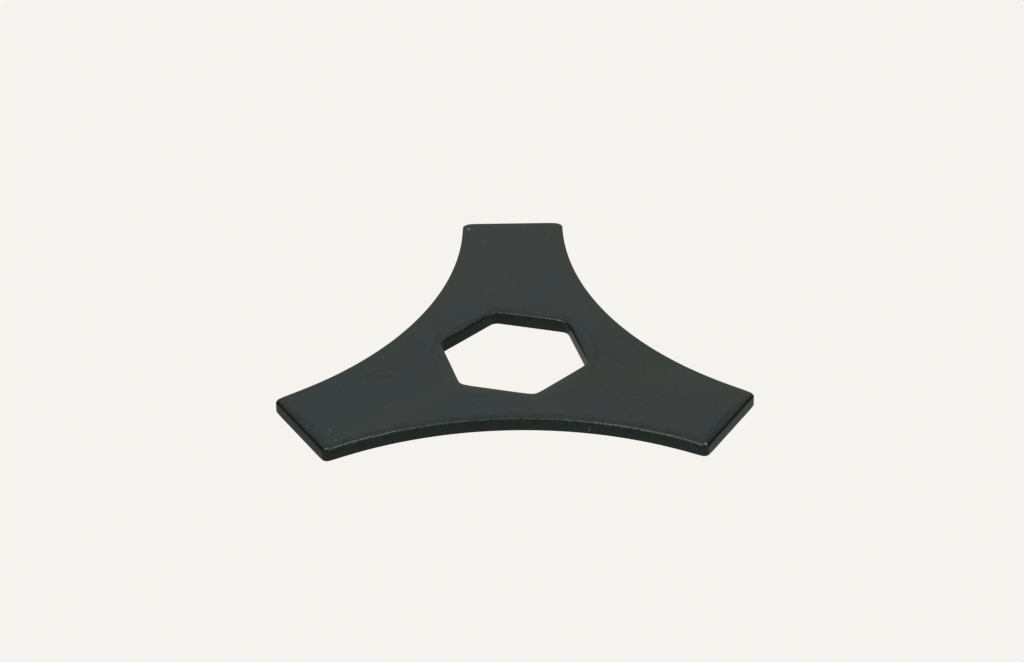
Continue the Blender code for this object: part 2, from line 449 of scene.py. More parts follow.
# %% Round print, as a form
print_middle = add(tree, MATH, (given["Print Inner"], given["Print Outer"]), operation="ADD")
print_middle = add(tree, MATH, (print_middle, 2), operation="DIVIDE")
off_print = add(tree, MATH, (inner_reach, print_middle), operation="SUBTRACT")
off_print = add(tree, MATH, (off_print,), operation="ABSOLUTE")
half_print = add(tree, MATH, (print_width, 2), operation="DIVIDE")
print_drop = add(
    tree, RANGE, (off_print, 0, half_print, given["Print Depth"], 0), interpolation_type="SMOOTHSTEP"
)
print_drop = add(tree, MATH, (print_drop, on_top), operation="MULTIPLY")
print("print %.3f mm deep" % (plate_sizes["Print Depth"] / MM))

# %% Height of the skin
SINK_SHAPE = 3


def edge_drop(distance, width, depth, sink, sink_width):
    """How far the face lies below its level at a distance from the edge.

    The rim falls off as a quarter of an ellipse, and the sink behind it as a power of the closeness.
    """
    rest = add(tree, RANGE, (distance, 0, width, 1, 0))
    level = add(tree, MATH, (1, add(tree, MATH, (rest, 2), operation="POWER")), operation="SUBTRACT")
    level = add(tree, MATH, (level,), operation="SQRT")
    round_drop = add(tree, MATH, (1, level), operation="SUBTRACT")
    round_drop = add(tree, MATH, (round_drop, depth), operation="MULTIPLY")
    closeness = add(tree, RANGE, (distance, 0, sink_width, 1, 0))
    closeness = add(tree, MATH, (closeness, SINK_SHAPE), operation="POWER")
    return add(tree, MATH, (closeness, sink, round_drop), operation="MULTIPLY_ADD")


(outer_depth, hex_depth), (outer_width, hex_width) = rolls["Depth"], rolls["Width"]
drops = [
    edge_drop(inset, outer_width, outer_depth, outer_sink, outer_sink_width),
    edge_drop(hex_gap, hex_width, hex_depth, hex_sink, hex_sink_width),
    print_drop,
]
height = given["Half Thickness"]
for drop in drops:
    height = add(tree, MATH, (height, drop), operation="SUBTRACT")
upright = add(tree, RANGE, (on_top, 0, 1, -1, 1))
height = add(tree, MATH, (height, upright), operation="MULTIPLY")
print("height formula holds", len(drops), "drops, and the tree", len(tree.nodes), "nodes")

# %% [markdown]
# The grid's corners move to their places and the ends are welded. Three attributes tell the
# coating where the sheared wall is and how far each spot lies from the two edges, because most
# marks follow an edge, and torn metal is rougher under its paint than the rolled face.

# %% Place the skin, weld it and make a plain mesh
WELD = 0.0005 * MM
SMALL_SHARE = 0.001
flat_parts = add(tree, SPLIT, (flat_place,))
skin_place = add(tree, JOIN, (flat_parts.outputs["X"], flat_parts.outputs["Y"], height))
from_middle = add(tree, MATH, (share, 0.5), operation="SUBTRACT")
from_middle = add(tree, MATH, (from_middle,), operation="ABSOLUTE")
on_wall = add(tree, MATH, (from_middle, 0.5 - SMALL_SHARE), operation="GREATER_THAN")
coating = bpy.data.materials.new("black_electrocoat_on_blanked_steel")
marked = grid
for label, value in (("sheared_wall", on_wall), ("outer_gap", inset), ("hex_gap", hex_gap)):
    marked = add(
        tree,
        "GeometryNodeStoreNamedAttribute",
        {"Geometry": marked, "Name": label, "Value": value},
        data_type="FLOAT",
    )
placed = add(tree, "GeometryNodeSetPosition", {"Geometry": marked, "Position": skin_place})
welded = add(tree, "GeometryNodeMergeByDistance", {"Geometry": placed, "Distance": WELD})
outward_faces = add(tree, "GeometryNodeFlipFaces", {"Mesh": welded})
smooth = add(tree, "GeometryNodeSetShadeSmooth", {"Geometry": outward_faces})
realized = add(tree, "GeometryNodeRealizeInstances", {"Geometry": smooth})
coated = add(tree, "GeometryNodeSetMaterial", {"Geometry": realized, "Material": coating})
add(tree, "NodeGroupOutput", {"Geometry": coated})


def plain_piece(name, tree, sizes):
    """Runs a shape tree with its sizes and returns the result as a plain mesh object."""
    holder = bpy.data.objects.new(name + "_shape", bpy.data.meshes.new(name + "_shape"))
    bpy.context.scene.collection.objects.link(holder)
    shaper = holder.modifiers.new("shape", "NODES")
    shaper.node_group = tree
    for item in tree.interface.items_tree:
        if item.item_type == "SOCKET" and item.in_out == "INPUT":
            shaper[item.identifier] = float(sizes[item.name])
    shaped = holder.evaluated_get(bpy.context.evaluated_depsgraph_get())
    piece = bpy.data.objects.new(name, bpy.data.meshes.new_from_object(shaped))
    bpy.context.scene.collection.objects.link(piece)
    bpy.data.objects.remove(holder)
    return piece


plate = plain_piece("coated_plate", tree, plate_sizes)
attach(plate, "root")
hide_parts("lock_plate")
print("plate:", len(plate.data.vertices), "vertices,", len(plate.data.polygons), "faces")

# %% [markdown]
# ## The finish
# The coating is a black electrocoat: a film of resin about 0.02 mm thick, laid down in a bath by
# current and baked. It is an insulator and not a metal, so it has a resin's index of refraction
# and no metallic value. The colour under its gloss is nearly black, a little green; most of
# what the eye sees is the room in its satin surface. Each later cell adds one thing that happened
# to this film, drawn in the plate's own coordinates, so that the marks stay on the metal. Most
# start from a noise: its values lie about 0.5, so a narrow range near there cuts it into patches.

# %% Black electrocoat
RESIN_IOR = 1.5
FACE_ROUGHNESS, WALL_ROUGHNESS = 0.16, 0.33
COATING_BLACK = "#252929"

coating.use_nodes = True
film = coating.node_tree
shader = film.nodes["Principled BSDF"]
shader.inputs["IOR"].default_value = RESIN_IOR
here = add(film, "ShaderNodeTexCoord").outputs["Object"]
along = add(film, SPLIT, (here,))
gap_to = {}
for label in ("sheared_wall", "outer_gap", "hex_gap"):
    gap_to[label] = add(film, "ShaderNodeAttribute", attribute_name=label).outputs["Fac"]
on_wall = gap_to["sheared_wall"]
print("film starts with", len(film.nodes), "nodes")

# %% [markdown]
# A parked part keeps a breath of oil from the dip that guards it against rust. So thin a film
# tints the mirror image: teal where it is thinnest, then mauve, and straw where it is thickest.
# Here it is thin on the left arm and thicker towards the right and the far arm, and it gathers in
# patches of some millimetres.

# %% Oil film
FILM_TINTS = ["#e9f7fd", "#f1f5fd", "#f9f1fb", "#f9f5f0", "#fff6e9"]
FILM_PATCH, FILM_CLOUD = 3.4 * MM, 11 * MM
FILM_LEFT, FILM_RIGHT, FILM_SLANT = -60 * MM, 60 * MM, 0.5
THIN_FILM, THICK_FILM, PATCH_SHARE, CLOUD_SHARE = -1.15, -0.65, 1.7, 1.1
FIRST_TINT, TINT_SPAN = 0.1, 0.8

patch = add(film, NOISE, {"Vector": here, "Scale": 1 / FILM_PATCH, "Detail": 1.0})
cloud = add(film, NOISE, {"Vector": here, "Scale": 1 / FILM_CLOUD, "Detail": 2.0})
slanted = add(film, MATH, (along.outputs["Y"], FILM_SLANT, along.outputs["X"]), operation="MULTIPLY_ADD")
thickness = add(film, RANGE, (slanted, FILM_LEFT, FILM_RIGHT, THIN_FILM, THICK_FILM))
for blots, share_of_film in ((patch, PATCH_SHARE), (cloud, CLOUD_SHARE)):
    thickness = add(
        film, MATH, (blots.outputs["Fac"], share_of_film, thickness), operation="MULTIPLY_ADD"
    )
oil = add(film, "ShaderNodeValToRGB", (thickness,))
for number, tint in enumerate(FILM_TINTS):
    elements = oil.color_ramp.elements
    stop = elements[number] if number < 2 else elements.new(1.0)
    stop.position = FIRST_TINT + TINT_SPAN * number / (len(FILM_TINTS) - 1)
    stop.color = linear(tint)
print("oil film in", len(FILM_TINTS), "tints, in patches of %.1f mm" % (FILM_PATCH / MM))

# %% [markdown]
# A washer or a stack of parts left a round print about the hexagon: a ring in which the film is
# pressed a little deeper and duller. The print isn't even, since what stood there leaned to the
# back, so it fades towards the front, and a broad noise weakens it in places.

# %% Round print about the hexagon
PRINT_RADIUS, PRINT_HALF_WIDTH = 18.8 * MM, 0.75 * MM
PRINT_FADE_START, PRINT_FADE_END = -12 * MM, -2 * MM
WEAK_PRINT, PRINT_CUT = 0.35, (0.35, 0.6)
flat_here = add(film, VECTOR, (here, (1, 1, 0)), operation="MULTIPLY")
from_axis = add(film, VECTOR, (flat_here,), operation="LENGTH").outputs["Value"]
off_ring = add(film, MATH, (from_axis, PRINT_RADIUS), operation="SUBTRACT")
off_ring = add(film, MATH, (off_ring,), operation="ABSOLUTE")
ring = add(film, RANGE, (off_ring, 0, PRINT_HALF_WIDTH, 1, 0), interpolation_type="SMOOTHSTEP")
uneven = add(film, RANGE, (cloud.outputs["Fac"], *PRINT_CUT, WEAK_PRINT, 1))
skew = add(film, RANGE, (along.outputs["Y"], PRINT_FADE_START, PRINT_FADE_END, 0, 1))
on_upper = add(film, MATH, (along.outputs["Z"], 0), operation="GREATER_THAN")
for weakening in (uneven, skew, on_upper):
    ring = add(film, MATH, (ring, weakening), operation="MULTIPLY")
print("print %.1f mm across" % (2 * PRINT_RADIUS / MM))

# %% [markdown]
# Small marks come next. A pale speck on the face is a spot where the film is broken or a grain is
# baked into it, and it looks pale because it scatters light instead of mirroring it. Each speck on
# the rolled front edge is a painted highlight instead: a pale spot where the lamps' highlight is
# brighter, the largest at the right arm's front corner. A fine grain added to its distance makes a
# speck ragged. Later cells use the same grain for the unevenness of the whole film. At 0.8 mm it is
# coarser than a real one, so that it shows.
#
# A stroke is a scratch or a rub: long, narrow and faint. The places of specks and strokes are read
# off the photograph, in millimetres from the axis, and the last number of a speck on the
# rolled edge says how far below the face it lies.

# %% Specks, painted edge highlights and strokes
PALE_SPECKS = [(-46.5, -28.0, 0.17), (-41.3, -30.1, 0.21), (-39.9, -34.0, 0.26), (-29.0, -21.3, 0.15)]
PALE_SPECKS += [(-5.6, -24.1, 0.16), (-10.6, 53.2, 0.46)]
# Painted highlights: pale spots on the rolled front edge and at the right arm's front corner, where the
# lamps' highlight is brighter.
PAINTED_EDGE_HIGHLIGHTS = [(25.2, -30.3, 0.22, 0.1), (29.5, -31.6, 0.2, 0.1), (42.15, -36.95, 0.45, 0.1)]
PAINTED_EDGE_HIGHLIGHTS += [(-26.7, -30.8, 0.17, 0.1), (-33.2, -33.3, 0.17, 0.1)]
STROKES = [(42.7, -21.8, -17, 3.0, 0.22), (-6.6, 47.5, -50, 1.6, 0.25), (-26.8, -8.6, -10, 1.0, 0.25)]
GRAIN = 0.8 * MM
RAGGED, SPOT_CORE, SPOT_EDGE = 1.6, 1.3, 1.8
STROKE_CORE, STROKE_EDGE = 0.3, 0.5
grain = add(film, NOISE, {"Vector": here, "Scale": 1 / GRAIN, "Detail": 2.0})


def spot(x, y, radius, drop=0):
    """A soft round mask about a place on the upper face, or a drop below it, in millimetres."""
    centre, radius = (x * MM, y * MM, HALF_THICKNESS - drop * MM), radius * MM
    away = add(film, VECTOR, (here, centre), operation="DISTANCE").outputs["Value"]
    away = add(film, MATH, (grain.outputs["Fac"], RAGGED * radius, away), operation="MULTIPLY_ADD")
    return add(film, RANGE, (away, SPOT_CORE * radius, SPOT_EDGE * radius, 1, 0)).outputs["Result"]


def stroke(x, y, degrees, length, width):
    """A soft narrow mask along a line on the upper face, in millimetres."""
    angle = math.radians(degrees)
    away = add(film, VECTOR, (flat_here, (x * MM, y * MM, 0)), operation="SUBTRACT")
    gaps = []
    for way in ((math.cos(angle), math.sin(angle), 0), (-math.sin(angle), math.cos(angle), 0)):
        gap = add(film, VECTOR, (away, way), operation="DOT_PRODUCT").outputs["Value"]
        gaps.append(add(film, MATH, (gap,), operation="ABSOLUTE"))
    lengthwise, across = gaps
    ends = add(film, RANGE, (lengthwise, STROKE_CORE * length * MM, STROKE_EDGE * length * MM, 1, 0))
    sides = add(film, RANGE, (across, 0, width * MM, 1, 0))
    mask = add(film, MATH, (ends, sides), operation="MULTIPLY")
    return add(film, MATH, (mask, on_upper), operation="MULTIPLY").outputs["Value"]


def strongest(masks):
    mask = masks[0]
    for other in masks[1:]:
        mask = add(film, MATH, (mask, other), operation="MAXIMUM").outputs["Value"]
    return mask


# This mask holds the real specks on the face and the painted highlights on the rolled edge.
specks_and_highlights = strongest([spot(*speck) for speck in PALE_SPECKS + PAINTED_EDGE_HIGHLIGHTS])
strokes = strongest([stroke(*line) for line in STROKES])
print(len(PALE_SPECKS + PAINTED_EDGE_HIGHLIGHTS), "specks and", len(STROKES), "strokes")

# %% [markdown]
# Where the front edge was dragged over, the skin of the sheet wrinkled: short dark lines lie
# parallel to the edge, up to three millimetres behind it. A noise that is long along the edge and
# narrow across it draws them all, because the distance to the edge is already on the mesh. Behind
# the hexagon the same happened more faintly, and there the lines follow the round print.

# %% Wrinkles behind the dragged edges
WRINKLE_LENGTH, WRINKLE_PITCH = 3.0 * MM, 0.42 * MM
FRONT_START, FRONT_END = -22 * MM, -25 * MM
BACK_START, BACK_END = 0 * MM, 8 * MM
WRINKLE_CUT, FADE_SHARE = (0.5, 0.62), 0.6
FRONT_BELT, BACK_BELT, BACK_SHARE = 3.2 * MM, 2.8 * MM, 0.7


def wrinkles(way_along, gap, belt):
    """Short dark lines parallel to an edge, in a belt that starts at it and fades out."""
    stretched = add(film, MATH, (gap, WRINKLE_LENGTH / WRINKLE_PITCH), operation="MULTIPLY")
    seat = add(film, JOIN, (way_along, stretched))
    lines = add(film, NOISE, {"Vector": seat, "Scale": 1 / WRINKLE_LENGTH, "Detail": 1.0})
    lines = add(film, RANGE, (lines.outputs["Fac"], *WRINKLE_CUT, 0, 1))
    fade = add(film, RANGE, (gap, FADE_SHARE * belt, belt, 1, 0))
    return add(film, MATH, (lines, fade), operation="MULTIPLY")


round_way = add(film, MATH, (along.outputs["Y"], along.outputs["X"]), operation="ARCTAN2")
round_way = add(film, MATH, (round_way, PRINT_RADIUS), operation="MULTIPLY")
at_front = add(film, RANGE, (along.outputs["Y"], FRONT_START, FRONT_END, 0, 1))
at_back = add(film, RANGE, (along.outputs["Y"], BACK_START, BACK_END, 0, 1))
front_lines = wrinkles(along.outputs["X"], gap_to["outer_gap"], FRONT_BELT)
back_lines = wrinkles(round_way, gap_to["hex_gap"], BACK_BELT)
front_lines = add(film, MATH, (front_lines, at_front), operation="MULTIPLY")
inside_print = add(film, RANGE, (from_axis, PRINT_RADIUS, PRINT_RADIUS + PRINT_HALF_WIDTH, 1, 0))
for limit in (at_back, inside_print, BACK_SHARE):
    back_lines = add(film, MATH, (back_lines, limit), operation="MULTIPLY")
wrinkled = add(film, MATH, (front_lines, back_lines), operation="ADD")
wrinkled = add(film, MATH, (wrinkled, on_upper), operation="MULTIPLY")
print("wrinkles every %.2f mm, %.0f mm long" % (WRINKLE_PITCH / MM, WRINKLE_LENGTH / MM))

# %% [markdown]
# Along the rim of the front edge the colour holds a painted highlight: a thin pale line that widens
# and brightens the lamps' highlight on the rolled edge. A fine noise breaks it up. It is drawn
# between two distances from the edge, so it follows the hollow side by itself. It is stronger on
# the right and stops before the arms' corners.

# %% Painted highlight along the front edge
PAINTED_HIGHLIGHT_NEAR, PAINTED_HIGHLIGHT_FAR, PAINTED_HIGHLIGHT_BLUR = 0.17 * MM, 0.5 * MM, 0.08 * MM
PAINTED_HIGHLIGHT_START, PAINTED_HIGHLIGHT_END, PAINTED_HIGHLIGHT_LAST = 8 * MM, 19 * MM, 41.5 * MM
PAINTED_HIGHLIGHT_CUT, LEAST_PAINTED_HIGHLIGHT, PAINTED_HIGHLIGHT_AT_LEFT = (0.42, 0.6), 0.25, 0.45
FINE = 0.35 * MM
fine = add(film, NOISE, {"Vector": here, "Scale": 1 / FINE, "Detail": 1.0})
# Painted highlight: pale colour on the rolled front rim, where the lamps' highlight lies.
painted_rim_highlight = add(film, RANGE, (fine.outputs["Fac"], *PAINTED_HIGHLIGHT_CUT, LEAST_PAINTED_HIGHLIGHT, 1))
past_rim = add(film, RANGE, (gap_to["outer_gap"], PAINTED_HIGHLIGHT_NEAR - PAINTED_HIGHLIGHT_BLUR, PAINTED_HIGHLIGHT_NEAR, 0, 1))
before_face = add(film, RANGE, (gap_to["outer_gap"], PAINTED_HIGHLIGHT_FAR - PAINTED_HIGHLIGHT_BLUR, PAINTED_HIGHLIGHT_FAR, 1, 0))
rightwards = add(film, RANGE, (along.outputs["X"], PAINTED_HIGHLIGHT_START, PAINTED_HIGHLIGHT_END, PAINTED_HIGHLIGHT_AT_LEFT, 1))
off_middle = add(film, MATH, (along.outputs["X"],), operation="ABSOLUTE")
before_tip = add(film, MATH, (off_middle, PAINTED_HIGHLIGHT_LAST), operation="LESS_THAN")
for limit in (past_rim, before_face, rightwards, on_upper, at_front, before_tip):
    painted_rim_highlight = add(film, MATH, (painted_rim_highlight, limit), operation="MULTIPLY")
print("painted_highlight line %.2f mm wide" % ((PAINTED_HIGHLIGHT_FAR - PAINTED_HIGHLIGHT_NEAR) / MM))

# %% [markdown]
# Two larger marks lie on the arms, and both are short wide strokes filled with noise. On the left
# arm something brown dried up in clots. On the right arm the film is a little grainy, because dust
# settled in it before it was baked.

# %% Smudge on the left arm and rough patch on the right arm
SMUDGE, ROUGH_PATCH = (-31.2, -9.0, 24, 9.5, 3.6), (32.5, -16.5, 25, 15.0, 6.0)
CLOT, CLOT_CUT, DUST_CUT = 1.7 * MM, (0.44, 0.62), (0.4, 0.6)
clots = add(film, NOISE, {"Vector": here, "Scale": 1 / CLOT, "Detail": 1.5})
clots = add(film, RANGE, (clots.outputs["Fac"], *CLOT_CUT, 0, 1))
smudge = add(film, MATH, (stroke(*SMUDGE), clots), operation="MULTIPLY")
dust = add(film, RANGE, (grain.outputs["Fac"], *DUST_CUT, -1, 1))
rough_patch = add(film, MATH, (stroke(*ROUGH_PATCH), dust), operation="MULTIPLY")
print("smudge %.1f mm long, rough patch %.1f mm" % (SMUDGE[3], ROUGH_PATCH[3]))

# %% [markdown]
# Right of the hexagon handling has dulled the film over a place about as wide as a thumb, and one
# soft round mask is enough for that. Dark flecks lie all over the face, where the film mirrors a
# little less. A noise draws them, cut off near its peaks, so that only separate dots are left.

# %% Dull place beside the hexagon
DULL_X, DULL_Y, DULL_CORE, DULL_EDGE = 22 * MM, -2 * MM, 4 * MM, 15 * MM
dull_middle = (DULL_X, DULL_Y, HALF_THICKNESS)
from_dull = add(film, VECTOR, (here, dull_middle), operation="DISTANCE").outputs["Value"]
dull = add(film, RANGE, (from_dull, DULL_CORE, DULL_EDGE, 1, 0), interpolation_type="SMOOTHSTEP")
print("dull place fades out %.0f mm from its middle" % (DULL_EDGE / MM))

# %% Dark flecks all over
FLECK, FLECK_CUT = 1.7 * MM, (0.62, 0.72)
flecks = add(film, NOISE, {"Vector": here, "Scale": 1 / FLECK, "Detail": 1.0})
flecks = add(film, RANGE, (flecks.outputs["Fac"], *FLECK_CUT, 0, 1))
print("flecks about %.1f mm apart" % (FLECK / MM))

# %% [markdown]
# The wall was torn as much as cut. A blanked wall has a smooth band at the top, where the punch
# sheared it, and a coarser band below, where the steel broke. Fine streaks run down it, along the
# punch's way. Real ones lie about a tenth of a millimetre apart, and these are three times as
# coarse, so that they show. The coating is thin here and doesn't hide all of it: it looks greener
# in broad patches, and traces of rust show through in the torn band.

# %% Sheared wall
WALL_TOP, WALL_LOW = "#303532", "#30332d"
BREAK_HEIGHT, BREAK_BLUR, BREAK_WANDER = -0.5 * MM, 0.5 * MM, 1.6 * MM
break_line = add(
    film, MATH, (patch.outputs["Fac"], BREAK_WANDER, along.outputs["Z"]), operation="MULTIPLY_ADD"
)
broken = add(
    film,
    RANGE,
    (break_line, BREAK_HEIGHT + BREAK_BLUR, BREAK_HEIGHT, 0, 1),
    interpolation_type="SMOOTHSTEP",
)
top_and_low = {"Factor": broken, "A": linear(WALL_TOP), "B": linear(WALL_LOW)}
wall_colour = add(film, MIX, top_and_low, data_type="RGBA")
band_start = BREAK_WANDER / 2 - BREAK_HEIGHT - BREAK_BLUR
print("torn band starts about %.1f mm below the middle of the sheet" % (band_start / MM))

# %% Green patches, rust and streaks
WALL_GREEN, WALL_RUST = "#2b3633", "#4a392c"
GREEN_CUT, RUST_CUT = (0.45, 0.6), (0.52, 0.66)
STREAK, STREAK_SQUEEZE = 0.3 * MM, 0.22
STREAK_CUT, STREAK_DARK, STREAK_LIGHT = (0.3, 0.7), 0.8, 1.2
green = add(film, RANGE, (cloud.outputs["Fac"], *GREEN_CUT, 0, 1))
rust = add(film, RANGE, (grain.outputs["Fac"], *RUST_CUT, 0, 1))
rust = add(film, MATH, (rust, broken), operation="MULTIPLY")
for mask, stain in ((green, WALL_GREEN), (rust, WALL_RUST)):
    stained = {"Factor": mask, "A": wall_colour, "B": linear(stain)}
    wall_colour = add(film, MIX, stained, data_type="RGBA")
drawn_out = add(film, VECTOR, (here, (1, 1, STREAK_SQUEEZE)), operation="MULTIPLY")
streaks = add(film, NOISE, {"Vector": drawn_out, "Scale": 1 / STREAK, "Detail": 2.0})
wall_light = add(film, RANGE, (streaks.outputs["Fac"], *STREAK_CUT, STREAK_DARK, STREAK_LIGHT))
wall_colour = add(film, VECTOR, (wall_colour, wall_light), operation="MULTIPLY")
print("streaks %.1f mm wide and about %.1f mm long" % (STREAK / MM, STREAK / STREAK_SQUEEZE / MM))

# %% Nick on the front wall
NICK_X, NICK_WIDTH, NICK_LOW, NICK_HIGH = 16.6 * MM, 0.25 * MM, -0.8 * MM, 0.5 * MM
NICK_STRENGTH, NICK_WANDER = 0.4, 1.2 * MM
wander = add(
    film, MATH, (grain.outputs["Fac"], NICK_WANDER, along.outputs["X"]), operation="MULTIPLY_ADD"
)
off_nick = add(film, MATH, (wander, NICK_X + NICK_WANDER / 2), operation="SUBTRACT")
off_nick = add(film, MATH, (off_nick,), operation="ABSOLUTE")
nick = add(film, RANGE, (off_nick, NICK_WIDTH / 2, NICK_WIDTH, 1, 0))
above = add(film, MATH, (along.outputs["Z"], NICK_LOW), operation="GREATER_THAN")
below = add(film, MATH, (along.outputs["Z"], NICK_HIGH), operation="LESS_THAN")
in_front = add(film, MATH, (along.outputs["Y"], 0), operation="LESS_THAN")
for limit in (above, below, in_front, on_wall, NICK_STRENGTH):
    nick = add(film, MATH, (nick, limit), operation="MULTIPLY")
print("nick at x = %.1f mm, %.1f mm high" % (NICK_X / MM, (NICK_HIGH - NICK_LOW) / MM))

# %% [markdown]
# Everything now meets in the shader. First the colour, from black through the marks to the wall, and last
# the pale marks, which hold the painted highlights too.
#
# Then the gloss. The roughness rises on the wall, on marks and under the print. The oil tints the
# mirror image: it is wiped off along the rims, and it has gathered, thick and warm, at the rear
# edges and in front of the hexagon. There the film is polished too, by the nuts that went in. How
# much the face mirrors is then lowered or raised by every mark in turn.
#
# Last, a bump gives the film its faint orange peel, with a stronger unevenness along the rolled
# edges that breaks up their highlights, and the streaks of the wall.

# %% Colour
SMUDGE_BROWN, PALE_MARK_AND_HIGHLIGHT, STROKE_GREY = "#2a2825", "#8f928c", "#4c504d"
PAINTED_HIGHLIGHT_STRENGTH, STROKE_STRENGTH = 0.62, 0.5
faint = add(film, MATH, (strokes, STROKE_STRENGTH), operation="MULTIPLY")
# Pale colour for the real specks and the nick, and for the painted highlights: the spots on the rolled
# edge and the line along the front rim.
pale_marks_and_highlights = add(film, MATH, (specks_and_highlights, nick), operation="MAXIMUM")
pale_marks_and_highlights = add(film, MATH, (painted_rim_highlight, PAINTED_HIGHLIGHT_STRENGTH, pale_marks_and_highlights), operation="MULTIPLY_ADD")
colour = linear(COATING_BLACK)
for mask, mark_colour in (
    (smudge, linear(SMUDGE_BROWN)),
    (faint, linear(STROKE_GREY)),
    (on_wall, wall_colour),
    (pale_marks_and_highlights, linear(PALE_MARK_AND_HIGHLIGHT)),
):
    colour = add(film, MIX, {"Factor": mask, "A": colour, "B": mark_colour}, data_type="RGBA")
film.links.new(colour.outputs["Result"], shader.inputs["Base Color"])
print("black in linear numbers:", [round(part, 3) for part in linear(COATING_BLACK)[:3]])

# %% Roughness
roughness = add(film, RANGE, (on_wall, 0, 1, FACE_ROUGHNESS, WALL_ROUGHNESS))
rougher_by = ((ring, 0.02), (smudge, 0.1), (rough_patch, 0.1), (strokes, 0.1), (pale_marks_and_highlights, 0.4))
for mask, more in rougher_by:
    roughness = add(film, MATH, (mask, more, roughness), operation="MULTIPLY_ADD")
film.links.new(roughness.outputs["Value"], shader.inputs["Roughness"])
print("roughness from", FACE_ROUGHNESS, "on the face to", WALL_ROUGHNESS, "on the wall")

# %% Tint of the mirror image
EDGE_TINT, BACK_TINT, WALL_TINT = "#f8faf0", "#fff4e2", "#f0fcf6"
EDGE_REACH, BACK_REACH = 1.4 * MM, 3.2 * MM
WARM_START, WARM_FULL = -24 * MM, -20 * MM
POLISH_REACH, POLISH_START, POLISH_END = 4 * MM, -8 * MM, -1 * MM
nearest_gap = add(film, MATH, (gap_to["outer_gap"], gap_to["hex_gap"]), operation="MINIMUM")
near_edge = add(film, RANGE, (nearest_gap, 0, EDGE_REACH, 1, 0), interpolation_type="SMOOTHSTEP")
behind = add(film, RANGE, (along.outputs["Y"], WARM_START, WARM_FULL, 0, 1))
near_back = add(film, RANGE, (gap_to["outer_gap"], 0, BACK_REACH, 1, 0))
near_back = add(film, MATH, (near_back, behind), operation="MULTIPLY")
near_hexagon = add(film, RANGE, (gap_to["hex_gap"], 0, POLISH_REACH, 1, 0))
before_hexagon = add(film, RANGE, (along.outputs["Y"], POLISH_START, POLISH_END, 1, 0))
polish = add(film, MATH, (near_hexagon, before_hexagon), operation="MULTIPLY")
thick = add(film, MATH, (near_back, polish), operation="MAXIMUM")
tint = oil
for mask, film_tint in ((near_edge, EDGE_TINT), (thick, BACK_TINT), (on_wall, WALL_TINT)):
    tint = add(film, MIX, {"Factor": mask, "A": tint, "B": linear(film_tint)}, data_type="RGBA")
film.links.new(tint.outputs["Result"], shader.inputs["Specular Tint"])
print("oil is warm within %.1f mm of the rear edges" % (BACK_REACH / MM))

# %% How much the face mirrors
MIRROR_CUT, MIRROR_LOW, MIRROR_HIGH = (0.3, 0.7), 0.47, 0.53
mirror = add(film, RANGE, (grain.outputs["Fac"], *MIRROR_CUT, MIRROR_LOW, MIRROR_HIGH))
dimmer_by = [(ring, 0.09), (wrinkled, 0.14), (smudge, 0.12), (rough_patch, -0.08)]
dimmer_by += [(flecks, 0.08), (polish, -0.09), (dull, 0.05)]
for mask, less in dimmer_by:
    mirror = add(film, MATH, (mask, -less, mirror), operation="MULTIPLY_ADD")
film.links.new(mirror.outputs["Value"], shader.inputs["Specular IOR Level"])
print(len(dimmer_by), "marks change how much the face mirrors")

# %% Orange peel and uneven edges
PEEL, PEEL_DEPTH = 1.2 * MM, 0.0005 * MM
EDGE_DEPTH, FINE_DEPTH, WALL_DEPTH = 0.05 * MM, 0.015 * MM, 0.006 * MM
peel = add(film, NOISE, {"Vector": here, "Scale": 1 / PEEL, "Detail": 2.0})
off_wall = add(film, MATH, (1, on_wall), operation="SUBTRACT")
edge_relief = add(film, MATH, (near_edge, off_wall), operation="MULTIPLY")
edge_relief = add(film, MATH, (edge_relief, EDGE_DEPTH), operation="MULTIPLY")
edge_relief = add(film, MATH, (edge_relief, grain.outputs["Fac"]), operation="MULTIPLY")
fine_relief = add(film, MATH, (near_edge, fine.outputs["Fac"]), operation="MULTIPLY")
wall_relief = add(film, MATH, (streaks.outputs["Fac"], WALL_DEPTH), operation="MULTIPLY")
relief = add(film, MATH, (fine_relief, FINE_DEPTH, edge_relief), operation="MULTIPLY_ADD")
relief = add(film, MATH, (peel.outputs["Fac"], PEEL_DEPTH, relief), operation="MULTIPLY_ADD")
relief = add(film, MATH, (wall_relief, on_wall, relief), operation="MULTIPLY_ADD")
sunk_by = ((strokes, 0.002 * MM), (specks_and_highlights, -0.03 * MM), (ring, 0.004 * MM), (wrinkled, 0.003 * MM))
for mask, depth in sunk_by:
    relief = add(film, MATH, (mask, -depth, relief), operation="MULTIPLY_ADD")
bump = add(film, "ShaderNodeBump", {"Height": relief, "Distance": 1.0})
film.links.new(bump.outputs["Normal"], shader.inputs["Normal"])
print("film ends with", len(film.nodes), "nodes")

# %% [markdown]
# ## Floor and light
# The plate lies on a light table: a white sheet that looks evenly bright, so no shadow is seen.
# To the camera it glows evenly white, but the glow that reaches the plate is painted with shade: it
# is weaker everywhere, more so towards the left, and most in the left part of the hole. The floor's
# material tells the two apart by the kind of ray. The room above is what the coating mirrors: a wide
# white screen behind, which fades with height, darker corners at the two sides, and two lamps that
# hang over the screen.

# %% Glowing floor
FLOOR_WHITE = "#f8f6f3"
# Strengths of the painted shade in the glow that reaches the plate: across the table, and in the hole.
FLOOR_LEFT, FLOOR_RIGHT = 0.56, 0.73
HOLE_LEFT, HOLE_RIGHT = 0.46, 0.70
SHADE_HALF, HOLE_RADIUS = 60 * MM, 18 * MM
HOLE_SHADE_START, HOLE_SHADE_END = -12 * MM, 4 * MM
FLOOR_HALF = 4.0
FLOOR_GAP = 0.02 * MM


